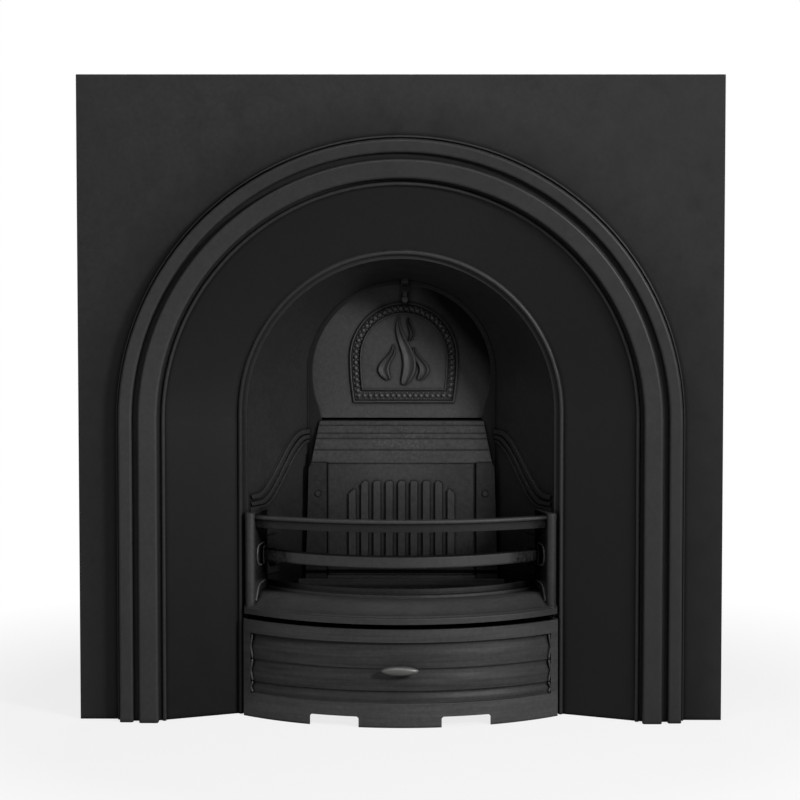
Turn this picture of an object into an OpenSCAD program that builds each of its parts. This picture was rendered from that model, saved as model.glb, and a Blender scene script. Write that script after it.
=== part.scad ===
// Arched cast iron fireplace insert with a bowed fire front and ash cover.
// Front view in X and Z, depth in Y. The front plate's face is at depth 0,
// what lies behind it has a positive depth, and Z is 0 on the hearth.

/* [Front plate] */
// Width of the front plate
plate_w = 965; // [930:1:1100]
// Height of the front plate
plate_h = 970; // [930:1:1100]
// Thickness of the front plate casting
plate_t = 6; // [5:0.5:7]
// Depth of the return rim along the top and the sides
rim_d = 24; // [18:1:40]
// Height between the lower and the upper wall fixings
fixing_spacing_z = 680; // [500:1:760]
// Height of the lower wall fixings
fixing_z = 150; // [60:1:180]
// Radius of the tapped hole in each wall fixing
fixing_hole_r = 4; // [3:0.5:5]

/* [Arch moulding] */
// Height of the arch centre
arch_z = 454; // [430:1:480]
// Outer radius of the outer rib
outer_rib_r = 421; // [416:1:430]
// Width of the outer rib
outer_rib_w = 20.5; // [18:0.5:26]
// Height of the outer rib above the plate
outer_rib_h = 25; // [18:0.5:30]
// Width of the groove between the ribs
rib_gap = 9; // [5:0.5:14]
// Width of the wide rib
wide_rib_w = 29; // [24:0.5:38]
// Height of the wide rib above the plate
wide_rib_h = 30; // [22:0.5:36]
// Height of the bead at the splayed panel's outer edge
bead_h = 14; // [12:0.5:16]
// Depth of the splayed panel's inner edge
splay_d = 41; // [30:1:46]

/* [Hood] */
// Half width of the throat, which is also its arch radius
throat_r = 232; // [222:1:240]
// Height of the throat's arch centre
throat_z = 460.5; // [452:0.5:466]
// Depth of the plate's back flange
throat_d = 58; // [54:1:66]
// Depth of the hood's inner back face
hood_d = 190; // [184:1:220]
// Wall of the hood
hood_wall = 6; // [5:0.5:8]
// Radius of the damper opening
damper_r = 139; // [130:1:142]
// Height of the damper opening's centre
damper_z = 504; // [490:1:515]
// Height of the damper opening's straight lower edge
damper_sill_z = 431; // [424:0.5:434]

/* [Damper] */
// Thickness of the damper flap
flap_t = 6; // [5:0.5:8]
// Lap of the damper flap behind the opening's edge
flap_lap = 5; // [3:0.5:7]
// Angle at which the flap leans back
flap_lean = 10; // [4:1:20]
// Radius of the hinge rod
rod_r = 4; // [3:0.5:5]
// Length of the catch finger below its pivot
catch_l = 18; // [14:1:34]

/* [Fireback] */
// Width of the fireback at its foot
fireback_w = 300; // [284:1:304]
// Depth from the fireback's face to the hood's back
fireback_t = 22; // [18:1:26]
// Number of reeds on the fireback
reed_count = 9; // [5:2:9]
// Width of one reed
reed_w = 10.5; // [7:0.1:12]

/* [Fire front] */
// Height of the fire front's lower edge
front_z = 155.5; // [152:0.5:162]
// Height of the posts' top
post_top_z = 308; // [296:1:314]
// Bow radius of the sill lip
sill_r = 346.6; // [342:0.2:352]
// Projection of the sill lip in front of the plate
sill_out = 63; // [58:1:68]
// Bow radius of the middle bar
middle_bar_r = 325; // [315:1:345]
// Projection of the middle bar
middle_bar_out = 21.8; // [16:0.2:28]
// Height of the middle bar's underside
middle_bar_z = 232.5; // [226:0.5:242]
// Height of the middle bar's section
middle_bar_h = 19; // [14:0.5:22]
// Bow radius of the top bar
top_bar_r = 512; // [480:1:560]
// Projection of the top bar
top_bar_out = 20; // [12:0.5:26]

/* [Ash cover] */
// Height of the ash cover
cover_h = 147.5; // [140:0.5:150]
// Bow radius of the ash cover
cover_r = 369; // [362:1:380]
// Projection of the ash cover
cover_out = 60; // [56:1:66]
// Thickness of the ash cover
cover_t = 7; // [5:0.5:8]
// Length of the knob
knob_l = 56; // [40:1:70]
// Diameter of the knob
knob_d = 14; // [10:0.5:18]

/* [Grate] */
// Height of the grate's underside
grate_z = 167; // [162:1:182]
// Thickness of the grate
grate_t = 9; // [7:0.5:12]
// Width of each slot in the grate
slot_w = 12; // [8:0.5:14]
// Width of each bar of the grate
grate_bar_w = 11; // [8:0.5:14]

/* [Hidden] */

iron = "dimgray";
steel = "silver";
fine = 180;      // facets of the large arches
medium = 48;     // facets of bolts and bosses
running = 0.06;  // radial clearance of a pin in its bore
tapped = 0.1;    // radial clearance of a screw in its tapped hole
drilled = 0.4;   // radial clearance of a bolt in a drilled hole
cut = 1;         // overrun of a cut past the face it opens

// Arch moulding, in radius and in height above the plate's face
edge_bead_w = 3.3;
edge_bead_h = 6;
edge_gap = 1.2;
edge_floor_h = 3;
seat_r = outer_rib_r + edge_gap + edge_bead_w;
seat_lap = 0.5;
groove_h = 14;
rib_corner = 4;
cavity_corner = 4;
bead_gap = 4.5;
bead_floor_h = 10;
bead_w = 6.2;
wide_rib_r = outer_rib_r - outer_rib_w - rib_gap;
bead_r = wide_rib_r - wide_rib_w - bead_gap;
panel_r = bead_r - bead_w;
panel_h = 6;
step_w = 7;
step_d = splay_d + 4;
throat_bead_w = 7;
lip_r = throat_r + step_w;
panel_end_r = lip_r - 3;
panel_in_r = lip_r + throat_bead_w;
panel_slope = (panel_h + splay_d) / (panel_r - panel_in_r);
panel_back = plate_t * sqrt(1 + panel_slope * panel_slope);

// Flanges that join the plate and the hood
throat_wall = 9;
flange_w = 34;
flange_t = 6;
flange_r = throat_r + flange_w;
hood_front = throat_d + flange_t;
joint_bolt_r = 4;
joint_bolt_inset = 12;
bolt_ring_r = flange_r - joint_bolt_inset;
bolt_angles = [20, 55, 90, 125, 160];
bolt_heights = [throat_z * 0.25, throat_z * 0.72];
washer_t = 1.6;

// Hood
back_border = 4;
hood_back_r = max(damper_r, fireback_w / 2 - 2 * back_border) + back_border;
hood_side = hood_wall * 7 / 6;
cheek_run = [hood_back_r - throat_r, hood_d - hood_front];
cheek_len = norm(cheek_run);
cheek_turn = atan2(cheek_run[1], cheek_run[0]);
cheek_wall = hood_side * cheek_run[1] / cheek_len;
slice = 0.5;

// Mouldings on the cheeks: start and end along the cheek, heights, width, height
strip_u = 26;
strip_h = 2.5;
roll_drop = [14, 22.5, 30];
roll_rise = [23, 12, 4];
roll_end_z = [for (drop = roll_drop) damper_sill_z - drop];
roll_start_z = [for (rise = roll_rise) post_top_z + rise];
roll_start_u = [16, 26, 34];
roll_stop_u = [134, 142, 152];
roll_w = [6.5, 6, 4];
roll_h = [4, 3.5, 2.5];
roll_steps = 25;
mould_u = 3;
mould_lap = 2;

// Sides of the damper opening: half width and rise over the sill where they leave the round, and
// half width at the sill
damper_flank = [129.5, 24];
damper_foot_half_w = 124.5;

// Damper flap and its hinge
flap_r = damper_r + flap_lap;
flap_seat_gap = 0.5;
flap_front = hood_d + hood_wall + flap_seat_gap;
knuckle_wall = 4;
knuckle_r = rod_r + knuckle_wall;
hinge_gap = 2;
hinge_drop = 19;
knuckle_rise = 22;
hinge_d = hood_d + hood_wall + knuckle_r + hinge_gap;
hinge_z = damper_sill_z - hinge_drop;
knuckle_x = 76;
knuckle_w = 10;
ear_gap = 1;
ear_x = knuckle_x + knuckle_w + ear_gap;
ear_w = 9;
rod_end = 3;
rod_l = 2 * (ear_x + ear_w + rod_end);
ornament_x = 3;
frame_half_w = 85;
frame_foot = 24.5;
frame_mid = 96;
frame_rise = 86.5;
frame_taper = 6.5;
frame_ridge = 3;
frame_bead_w = 13;
foot_groove = [-4, 1.5];
foot_groove_d = 0.6;
relief = 2.5;
flame_h = 1.2;

// Tongues of the flame on the flap: side step, foot, height, width and sway
tongues = [[0, 52, 108, 21, 9], [-24, 60, 56, 17, -8], [24, 60, 52, 15, 8],
    [10, 122, 36, 6, 3]];

// Catch that hangs in front of the flap's top
catch_x = 5;
catch_t = 5;
catch_w = 6.5;
catch_eye_r = 5;
catch_pin_r = 2.5;
catch_lug_w = 11;
catch_lug_t = 6;
catch_lug_drop = 11;
catch_lug_root = 3;
catch_lug_z = [damper_z + damper_r - catch_lug_drop, damper_z + hood_back_r + catch_lug_root];
catch_inset = 4.5;
catch_z = damper_z + damper_r - catch_inset;
catch_lug_d = hood_d - catch_lug_t - 0.5;
catch_play = 0.3;

// Fireback
fireback_d = hood_d - fireback_t;
fireback_foot_z = grate_z + 3;
fireback_top_z = damper_sill_z - 1;
header_drop = [63.5, 44.5, 27.5, 19.5, 7.5];
header_z = [for (drop = header_drop) fireback_top_z - drop];
header_step = [3, 8, 12, 15, 17.5];
header_inset = [9.5, 22.5];
header_half_w = [for (inset = header_inset) fireback_w / 2 - inset];
header_corner = [4, 8];
panel_inset = 34.5;
panel_half_w = fireback_w / 2 - panel_inset;
panel_recess = 5;
panel_foot = 20;
back_wall = 8;
reed_pitch = reed_w + 8.7;
reed_proud = 4.5;
reed_corner = 2.5;
reed_ends = [42, 28.5];
reed_top_z = header_z[0] - reed_ends[1];
reed_foot_z = fireback_foot_z + reed_ends[0];
reed_drop = 12;
reed_slant = 0.85;
back_screw_place = [20, 47.5];
back_screw_x = fireback_w / 2 - back_screw_place[0];
back_screw_z = header_z[0] - back_screw_place[1];
back_screw_r = 2.5;
back_head_t = 2.5;
back_nut_t = 4;
back_screw_end = 3;

// Fire front
sill_axis = sill_r - sill_out;
post_over = 3;
sill_over = 5;
post_out = throat_r + post_over;
sill_half_w = throat_r + sill_over;
post_w = 15;
post_front = 26;
post_back = [41, 48];
post_back_w = 8.5;
wall_end_u = 31.5;
wall_end_n = 6;
wall_t = 7;
bar_t = 10;
bar_corner = 3;
lip_h = 6;
lip_drop = 3;
lip_out = 2;
web_h = 12.5;
collar_w = 6;
collar_h = 4.5;
collar_out = 2;

// Section of the sill: back from the lip's face and up from its lower edge
sill_lip = [9, 9];
sill_slope_start = [4.5, 12];
sill_slope = [29, 17.5];
sill_step = [54, 30];
sill_ledge = [62, 35];
sill_rear = [70, 42.5];
sill_rear_w = 7;
sill_rear_foot = 22;
sill_under = [[36, 22], [12, 5.5]];

// Brackets that carry the fire front on the cheeks
bracket_u = 54;
bracket_drop = 10.5;
bracket_z = middle_bar_z - bracket_drop;
bracket_shelf_t = 8;
bracket_base_t = 6;
bracket_reach = 22;
bracket_w = 24;
bracket_base_h = 58;
bracket_base_drop = 17;
bracket_side = 4;
bracket_bolt_r = 3;
bracket_bolt_rise = [-9, 32];
bracket_bolt_z = [for (rise = bracket_bolt_rise) bracket_z + rise];
bolt_end_gap = 0.5;
peg_r = 4;
peg_n = 14;
peg_h = 14;
lug_t = 8;
lug_gap = 0.3;
lug_side = [1.5, 2.5];
lug_ends = [6, 2];
lug_n = [bracket_base_t + lug_side[0], bracket_reach - lug_side[1]];
lug_u = [wall_end_u - lug_ends[0], bracket_u + bracket_w / 2 - lug_ends[1]];

// Ash cover
cover_over = 6;
cover_half_w = throat_r + cover_over;
cover_axis = cover_r - cover_out;
cover_end_lap = 2;
cover_end_d = cover_axis - sqrt(pow(cover_r - cover_end_lap, 2) - pow(cover_half_w, 2));
recess_side = 11;
recess_half_w = cover_half_w - recess_side;
recess_top = 19.5;
recess_z = [37, 54.5, 88.5, cover_h - recess_top];
recess_d = [4, 6.5];
recess_skin = 5;
recess_border = 6;
wave_round = 2;
notch_x = [62, 135];
notch_h = 16;
notch_corner = 2.5;
return_gap = 0.35;
return_d = throat_d - 3;
return_w = 6;
return_x = throat_r - return_gap;
return_plan = [
    [cover_half_w, cover_end_d],
    [cover_half_w, step_d - return_gap],
    [return_x, step_d - return_gap],
    [return_x, return_d],
    [return_x - return_w, return_d],
    [cover_half_w - return_w, cover_end_d + 3]];
knob_drop = 1;
knob_z = recess_z[2] - knob_drop;
knob_gap = 5;
knob_stem_r = 4.5;
knob_screw_r = 2.5;
knob_head_r = knob_screw_r * 1.7;
spot_face = 0.5;
knob_seat = recess_d[1] + recess_skin - spot_face;

// Grate and its rests
grate_gap = 2;
grate_back_gap = 16;
grate_back_d = fireback_d - grate_back_gap;
grate_border = 14;
rest_t = 8;
rest_base_t = 6;
rest_base_h = 34;
rest_bolt_drop = 21;
rest_bolt_z = grate_z - rest_bolt_drop;
rest_bolts = [0.25, 0.75];
rest_front_gap = 32;
rest_back_gap = 2;
rest_start_d = hood_front + rest_front_gap;
rest_end_d = grate_back_d - rest_back_gap;
rest_lap = 8;
grate_clear = [15, 33];
slot_pairs = 8;
slot_end = 5;
rail_h = 12.5;
rail_w = 8;

// Overall depth, used to put the origin under the middle of the object
knob_front = cover_out - recess_d[0] + knob_gap + knob_d;
flap_rear = hinge_d + (flap_front + flap_t - hinge_d) * cos(flap_lean)
    + (damper_z + flap_r - hinge_z) * sin(flap_lean);
frame_shift = (knob_front - flap_rear) / 2;

function arc(c, r, a0, a1, n = 6) =
    [for (i = [0:n]) let (a = a0 + (a1 - a0) * i / n) c + r * [cos(a), sin(a)]];

function reversed(l) = [for (i = [len(l) - 1:-1:0]) l[i]];

function rib(r_out, w, foot_out, foot_in, h, corner) = let (c = min(corner, w / 2 - 0.1)) concat(
    [[r_out, foot_out]],
    arc([r_out - c, h - c], c, 0, 90),
    arc([r_out - w + c, h - c], c, 90, 180),
    [[r_out - w, foot_in]]);

function smooth(t) = let (s = min(1, max(0, t))) s * s * (3 - 2 * s);

// Half width of the hood's inside at a depth
function cheek_x(d) = throat_r + cheek_run[0] * (d - hood_front) / cheek_run[1];

// Height of the centre of the hood's arch at a depth
function hood_centre_z(d) = throat_z + (damper_z - throat_z) * (d - hood_front) / cheek_run[1];

// Plan position at a run along the cheek and a distance in from its face
function on_cheek(u, n) = [throat_r, hood_front]
    + u * cheek_run / cheek_len - n * [cheek_run[1], -cheek_run[0]] / cheek_len;

// A flat shape in X and Z, from one depth to another
module slab(d0, d1) {
    translate([0, d1, 0])
        rotate([90, 0, 0])
            linear_extrude(d1 - d0)
                children();
}

// A section in radius and height, swept along a bow that faces the front
module bow(axis_d, half_angle = 62) {
    translate([0, axis_d, 0])
        rotate([0, 0, -90 - half_angle])
            rotate_extrude(angle = 2 * half_angle, $fn = fine)
                children();
}

// Children on the right and mirrored on the left
module both_sides() {
    children();
    mirror([1, 0, 0]) children();
}

// Children in the right cheek's own frame: X back along it, Y in from its face
module cheek_frame() {
    translate([throat_r, hood_front, 0])
        rotate([0, 0, cheek_turn])
            children();
}

module rod_y(r, d0, d1, facets = medium) {
    translate([0, d0, 0])
        rotate([-90, 0, 0])
            cylinder(r = r, h = d1 - d0, $fn = facets);
}

module rod_x(r, l) {
    rotate([0, 90, 0])
        cylinder(r = r, h = l, center = true, $fn = medium);
}

module arch_2d(r, foot, centre_z) {
    translate([0, centre_z])
        circle(r, $fn = fine);
    translate([-r, foot])
        square([2 * r, centre_z - foot]);
}

// A section in radius and height above the plate's face, swept round an arch and its two legs
module round_arch(centre_z) {
    translate([0, 0, centre_z])
        rotate([90, 0, 0])
            rotate_extrude(angle = 180, $fn = fine)
                children();
    both_sides()
        linear_extrude(centre_z)
            mirror([0, 1])
                children();
}

// Section of the ribs and the splayed panel, which runs in past the throat's lip
module moulding_section() {
    panel_end_h = -splay_d - (panel_in_r - panel_end_r) * panel_slope;
    front = concat(
        rib(seat_r, edge_bead_w, 0, edge_floor_h, edge_bead_h, edge_bead_w / 2 - 0.1),
        rib(outer_rib_r, outer_rib_w, edge_floor_h, groove_h, outer_rib_h, rib_corner),
        rib(wide_rib_r, wide_rib_w, groove_h, bead_floor_h, wide_rib_h, rib_corner),
        rib(bead_r, bead_w, bead_floor_h, panel_h, bead_h, bead_w / 2 - 0.1),
        [[panel_end_r, panel_end_h]]);
    back = concat(
        [[panel_end_r, panel_end_h - panel_back], [panel_r, panel_h - panel_back]],
        reversed(rib(wide_rib_r - plate_t, wide_rib_w - 2 * plate_t, groove_h - plate_t,
            bead_floor_h - plate_t, wide_rib_h - plate_t, cavity_corner)),
        reversed(rib(outer_rib_r - plate_t, outer_rib_w - 2 * plate_t, -plate_t,
            groove_h - plate_t, outer_rib_h - plate_t, cavity_corner)),
        [[seat_r, -plate_t]]);
    polygon(concat(front, back));
}

// Section of the throat: its lip roll, a flat step, the throat and the back flange
module throat_section() {
    roll_r = throat_bead_w / 2;
    polygon(concat(
        arc([lip_r + roll_r, 1 - splay_d], roll_r, 0, 180),
        [[lip_r, -step_d], [throat_r, -step_d - 1]],
        [[throat_r, -throat_d - flange_t], [flange_r, -throat_d - flange_t]],
        [[flange_r, -throat_d], [throat_r + throat_wall, -throat_d]],
        [[lip_r + throat_wall, -step_d - throat_wall / 2]]));
}

// Places of the bolts that join the hood to the plate, in X and Z
module at_hood_bolts() {
    for (a = bolt_angles)
        translate([bolt_ring_r * cos(a), 0, throat_z + bolt_ring_r * sin(a)])
            children();
    for (z = bolt_heights, side = [-1, 1])
        translate([side * bolt_ring_r, 0, z])
            children();
}

module at_wall_fixings() {
    for (side = [-1, 1], z = [fixing_z, fixing_z + fixing_spacing_z])
        translate([side * (seat_r + plate_w / 2) / 2, 0, z])
            children();
}

module arch_plate() {
    boss_r = fixing_hole_r + 7;
    color(iron) difference() {
        union() {
            slab(0, plate_t) difference() {
                translate([-plate_w / 2, 0])
                    square([plate_w, plate_h]);
                arch_2d(seat_r - seat_lap, -cut, arch_z);
            }
            slab(0, rim_d) difference() {
                translate([-plate_w / 2, 0])
                    square([plate_w, plate_h]);
                translate([plate_t - plate_w / 2, -cut])
                    square([plate_w - 2 * plate_t, plate_h - plate_t + cut]);
            }
            difference() {
                round_arch(arch_z)
                    moulding_section();
                slab(plate_t, hood_front)
                    arch_2d(lip_r + 1, -cut, throat_z);
            }
            round_arch(throat_z)
                throat_section();
            at_wall_fixings()
                rod_y(boss_r, plate_t / 2, rim_d);
        }
        at_hood_bolts()
            rod_y(joint_bolt_r + drilled, throat_d - cut, hood_front + cut);
        at_wall_fixings()
            rod_y(fixing_hole_r, plate_t + 3, rim_d + cut);
    }
}

// A thin slice across the hood that ends at a depth, grown out from its inside
module hood_slice(d, grow, foot) {
    r = cheek_x(d) + grow;
    z = hood_centre_z(d);
    slab(d - slice, d) {
        translate([0, z])
            circle(r, $fn = fine);
        translate([-r, foot])
            square([2 * r, z - foot]);
    }
}

// Round opening with straight sides at its foot, grown by a lap all round
module damper_opening(lap) {
    r = damper_r + lap;
    flank = [damper_flank[0] + lap, damper_sill_z + damper_flank[1]];
    foot = [damper_foot_half_w + lap, damper_sill_z - lap];
    intersection() {
        union() {
            translate([0, damper_z])
                circle(r, $fn = fine);
            polygon([flank, foot, [-foot[0], foot[1]], [-flank[0], flank[1]]]);
        }
        translate([-r, foot[1]])
            square(3 * r);
    }
}

// One roll of the cheek moulding, as a band under an S-shaped line
module cheek_roll(i) {
    top = [for (k = [0:roll_steps]) let (u = mould_u + (cheek_len - mould_u) * k / roll_steps)
        [u, roll_start_z[i] + (roll_end_z[i] - roll_start_z[i])
            * smooth((u - roll_start_u[i]) / (roll_stop_u[i] - roll_start_u[i]))]];
    under = [for (p = reversed(top)) [p[0] + roll_w[i] / 2, p[1] - roll_w[i]]];
    trimmed = [for (p = concat(top, under)) [min(p[0], cheek_len), p[1]]];
    cheek_frame()
        translate([0, roll_h[i], 0])
            rotate([90, 0, 0])
                linear_extrude(roll_h[i] + mould_lap)
                    polygon(trimmed);
}

module cheek_mouldings() {
    for (i = [0:2])
        cheek_roll(i);
    cheek_frame()
        translate([mould_u, -mould_lap, damper_z / 2])
            cube([strip_u - mould_u, strip_h + mould_lap, roll_start_z[2] - damper_z / 2]);
}

module hinge_ears() {
    both_sides()
        translate([ear_x, 0, 0]) difference() {
            union() {
                translate([0, hood_d + hood_wall - 1, hinge_z - knuckle_r])
                    cube([ear_w, hinge_d - hood_d - hood_wall + 1, 2 * knuckle_r]);
                translate([ear_w / 2, hinge_d, hinge_z])
                    rod_x(knuckle_r, ear_w);
            }
            translate([ear_w / 2, hinge_d, hinge_z])
                rod_x(rod_r + running, ear_w + 2 * cut);
        }
}

module hood() {
    color(iron) difference() {
        union() {
            difference() {
                union() {
                    hull() {
                        hood_slice(hood_front + slice, hood_side, 0);
                        hood_slice(hood_d + hood_wall, hood_side, 0);
                    }
                    slab(hood_front, hood_front + flange_t) difference() {
                        arch_2d(flange_r, 0, throat_z);
                        arch_2d(throat_r - cut, -cut, throat_z);
                    }
                }
                hull() {
                    hood_slice(hood_front, 0, -cut);
                    hood_slice(hood_d, 0, -cut);
                }
                slab(hood_d - cut, hood_d + hood_wall + cut)
                    damper_opening(0);
            }
            both_sides()
                cheek_mouldings();
            hinge_ears();
            translate([catch_x - catch_lug_w / 2, catch_lug_d, catch_lug_z[0]])
                cube([catch_lug_w, catch_lug_t, catch_lug_z[1] - catch_lug_z[0]]);
        }
        at_hood_bolts()
            rod_y(joint_bolt_r + drilled, hood_front - cut, hood_front + flange_t + cut);
        at_back_screws()
            rod_y(back_screw_r + drilled, hood_d - cut, hood_d + hood_wall + cut);
        at_bracket_bolts()
            rod_y(bracket_bolt_r + drilled, -cheek_wall - cut, cut);
        at_rest_bolts()
            rod_y(bracket_bolt_r + drilled, -cheek_wall - cut, cut);
        translate([catch_x, 0, catch_z])
            rod_y(catch_pin_r + running, catch_lug_d - cut, catch_lug_d + catch_lug_t + cut);
    }
}

// A hexagon bolt, washer or nut along Y: the seat is at 0 and the shank runs forwards
module hex_bolt(r, l) {
    rod_y(r, -l, 0);
    rod_y(r * 1.85, 0, r * 1.3, 6);
}

module hex_nut(r, t) {
    difference() {
        rod_y(r * 1.85, -t, 0, 6);
        rod_y(r + tapped, -t - cut, cut);
    }
}

module hood_bolts() {
    color(steel)
        at_hood_bolts()
            translate([0, hood_front + flange_t + washer_t, 0])
                hex_bolt(joint_bolt_r, 2 * flange_t + washer_t + joint_bolt_r * 2);
}

module hood_washers() {
    color(steel)
        at_hood_bolts()
            translate([0, hood_front + flange_t, 0])
                difference() {
                    rod_y(joint_bolt_r * 2, 0, washer_t);
                    rod_y(joint_bolt_r + tapped, -cut, washer_t + cut);
                }
}

module hood_nuts() {
    color(steel)
        at_hood_bolts()
            translate([0, throat_d, 0])
                hex_nut(joint_bolt_r, joint_bolt_r * 1.5);
}

module at_back_screws() {
    for (side = [-1, 1])
        translate([side * back_screw_x, 0, back_screw_z])
            children();
}

// A flat reed with cut corners; the outer ones are cut down towards the outside
module reed(i) {
    outer = (reed_count - 1) / 2;
    k = abs(i);
    r = reed_w / 2;
    top = reed_top_z - (k == outer ? reed_drop : 0);
    outside = k == outer ? reed_w - reed_corner : k == outer - 1 ? reed_w / 2 : reed_corner;
    slab(fireback_d + panel_recess - reed_proud, fireback_d + panel_recess + 1)
        translate([i * reed_pitch, 0])
            mirror([i < 0 ? 1 : 0, 0])
                polygon([[-r, reed_foot_z], [r, reed_foot_z], [r, top - outside * reed_slant],
                    [r - outside, top], [reed_corner - r, top], [-r, top - reed_corner]]);
}

module fireback() {
    back = hood_d;
    side = concat(
        [[back, fireback_foot_z], [fireback_d, fireback_foot_z], [fireback_d, header_z[0]]],
        [for (i = [0:4], k = [0, 1]) if (i > 0 || k == 1)
            [fireback_d + header_step[i - 1 + k], header_z[i]]],
        [[fireback_d + header_step[4], fireback_top_z], [back, fireback_top_z]]);
    half = fireback_w / 2;
    header_edge = [header_half_w[0], header_z[0]];
    panel_tall = header_z[0] - fireback_foot_z - panel_foot;
    bevel = cheek_x(fireback_d) - cheek_x(back);
    color(iron) difference() {
        union() {
            difference() {
                intersection() {
                    translate([-half, 0, 0])
                        rotate([90, 0, 90])
                            linear_extrude(fireback_w)
                                polygon(side);
                    slab(fireback_d - cut, back + cut)
                        polygon([[-half, fireback_foot_z - cut], [half, fireback_foot_z - cut],
                            header_edge + [header_corner[0], -header_corner[1]],
                            header_edge,
                            [header_half_w[1], fireback_top_z + cut],
                            [-header_half_w[1], fireback_top_z + cut],
                            [-header_edge[0], header_z[0]],
                            [-header_edge[0] - header_corner[0], header_z[0] - header_corner[1]]]);
                    linear_extrude(fireback_top_z + cut)
                        polygon([[-half, fireback_d], [half, fireback_d],
                            [half - bevel, back], [bevel - half, back]]);
                }
                translate([-panel_half_w, fireback_d - cut, fireback_foot_z + panel_foot])
                    cube([2 * panel_half_w, panel_recess + cut, panel_tall]);
                translate([-panel_half_w, fireback_d + panel_recess + back_wall,
                        fireback_foot_z + panel_foot])
                    cube([2 * panel_half_w, fireback_t, panel_tall - 4]);
            }
            for (i = [-(reed_count - 1) / 2:(reed_count - 1) / 2])
                reed(i);
        }
        at_back_screws()
            rod_y(back_screw_r + drilled, fireback_d - cut, back + cut);
    }
}

module fireback_screws() {
    color(steel)
        at_back_screws() {
            rod_y(back_screw_r, fireback_d, hood_d + hood_wall + back_nut_t + back_screw_end);
            rod_y(back_screw_r * 1.6, fireback_d - back_head_t, fireback_d);
        }
}

module fireback_nuts() {
    color(steel)
        at_back_screws()
            translate([0, hood_d + hood_wall + back_nut_t, 0])
                hex_nut(back_screw_r, back_nut_t);
}

// Outline of the flap's beaded frame, drawn in by an offset
module frame_2d(inset) {
    half = frame_half_w - inset;
    foot = frame_foot + inset * 1.2;
    side = [for (i = [0:6]) let (v = foot + (frame_mid - foot) * i / 6)
        [half - frame_taper * pow((frame_mid - v) / (frame_mid - frame_foot), 2), v]];
    top = [for (i = [1:23])
        [half * cos(i * 7.5), frame_mid + (frame_rise - inset) * sin(i * 7.5)]];
    mirrored = [for (p = reversed(side)) [-p[0], p[1]]];
    translate([ornament_x, damper_sill_z])
        polygon(concat(side, top, mirrored));
}

// One tongue of the flame: a blade, widest low down, that sways to one side and back
module tongue(x, foot, h, w, sway) {
    n = 24;
    centre = [for (i = [0:n]) let (t = i / n) [x + sway * sin(300 * t), foot + h * t]];
    half = [for (i = [0:n]) w / 2 * pow(max(0, sin(180 * pow(i / n, 0.55))), 0.9)];
    polygon(concat(
        [for (i = [0:n]) centre[i] - [half[i], 0]],
        [for (i = [n - 1:-1:1]) centre[i] + [half[i], 0]]));
}

module flame_2d() {
    translate([ornament_x, damper_sill_z])
        for (t = tongues)
            tongue(t[0], t[1], t[2], t[3], t[4]);
}

module closed_flap() {
    difference() {
        union() {
            slab(flap_front, flap_front + flap_t)
                damper_opening(flap_lap);
            slab(flap_front - relief, flap_front + 1) difference() {
                frame_2d(0);
                frame_2d(frame_ridge);
            }
            slab(flap_front - relief, flap_front + 1)
                frame_2d(frame_ridge + frame_bead_w);
            slab(flap_front - relief - flame_h, flap_front - relief + 1)
                flame_2d();
            both_sides() {
                translate([knuckle_x, flap_front + 2, hinge_z])
                    cube([knuckle_w, hinge_d + knuckle_r - flap_front - 2, knuckle_rise]);
                translate([knuckle_x + knuckle_w / 2, hinge_d, hinge_z])
                    rod_x(knuckle_r, knuckle_w);
            }
        }
        slab(flap_front - cut, flap_front + flap_t * foot_groove_d)
            translate([-flap_r, damper_sill_z + foot_groove[0]])
                square([2 * flap_r, foot_groove[1] - foot_groove[0]]);
        translate([0, hinge_d, hinge_z])
            rod_x(rod_r + running, rod_l + 2 * cut);
    }
}

module damper_flap() {
    color(iron)
        translate([0, hinge_d, hinge_z])
            rotate([-flap_lean, 0, 0])
                translate([0, -hinge_d, -hinge_z])
                    closed_flap();
}

module damper_rod() {
    color(steel)
        translate([0, hinge_d, hinge_z])
            rod_x(rod_r, rod_l);
}

module damper_catch() {
    d = catch_lug_d - catch_play - catch_t;
    color(iron)
        translate([catch_x, 0, catch_z]) difference() {
            union() {
                rod_y(catch_eye_r, d, d + catch_t);
                translate([-catch_w / 2, d, -catch_l])
                    cube([catch_w, catch_t, catch_l]);
                translate([0, 0, -catch_l])
                    rod_y(catch_w * 0.7, d - 1, d + catch_t);
            }
            rod_y(catch_pin_r + running, d - 2 * cut, d + catch_t + cut);
        }
}

module catch_pivot() {
    d = catch_lug_d - catch_play - catch_t;
    color(steel)
        translate([catch_x, 0, catch_z]) {
            rod_y(catch_pin_r, d - 0.3, catch_lug_d + catch_lug_t);
            rod_y(catch_pin_r * 1.6, d - 2, d - 0.3);
        }
}

// Plan of one side wall of the fire front, with a rounded post at its front
wall_back = [on_cheek(wall_end_u, wall_end_n), on_cheek(wall_end_u - 1, wall_end_n + wall_t)];
post_edge = [[post_out, post_back[0]], [post_out - post_back_w, post_back[1]]];
wall_plan = concat(
    post_edge,
    wall_back,
    arc([post_out - post_w / 2, post_front + post_w / 2], post_w / 2, -180, 0, 12));

// Plan area that the fire front's sill and bars fill
front_edge = concat(
    [[sill_half_w, -2 * sill_out], [sill_half_w, splay_d - 4]],
    post_edge,
    [wall_back[0]]);
front_plan = concat(front_edge, [for (p = reversed(front_edge)) [-p[0], p[1]]]);

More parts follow.
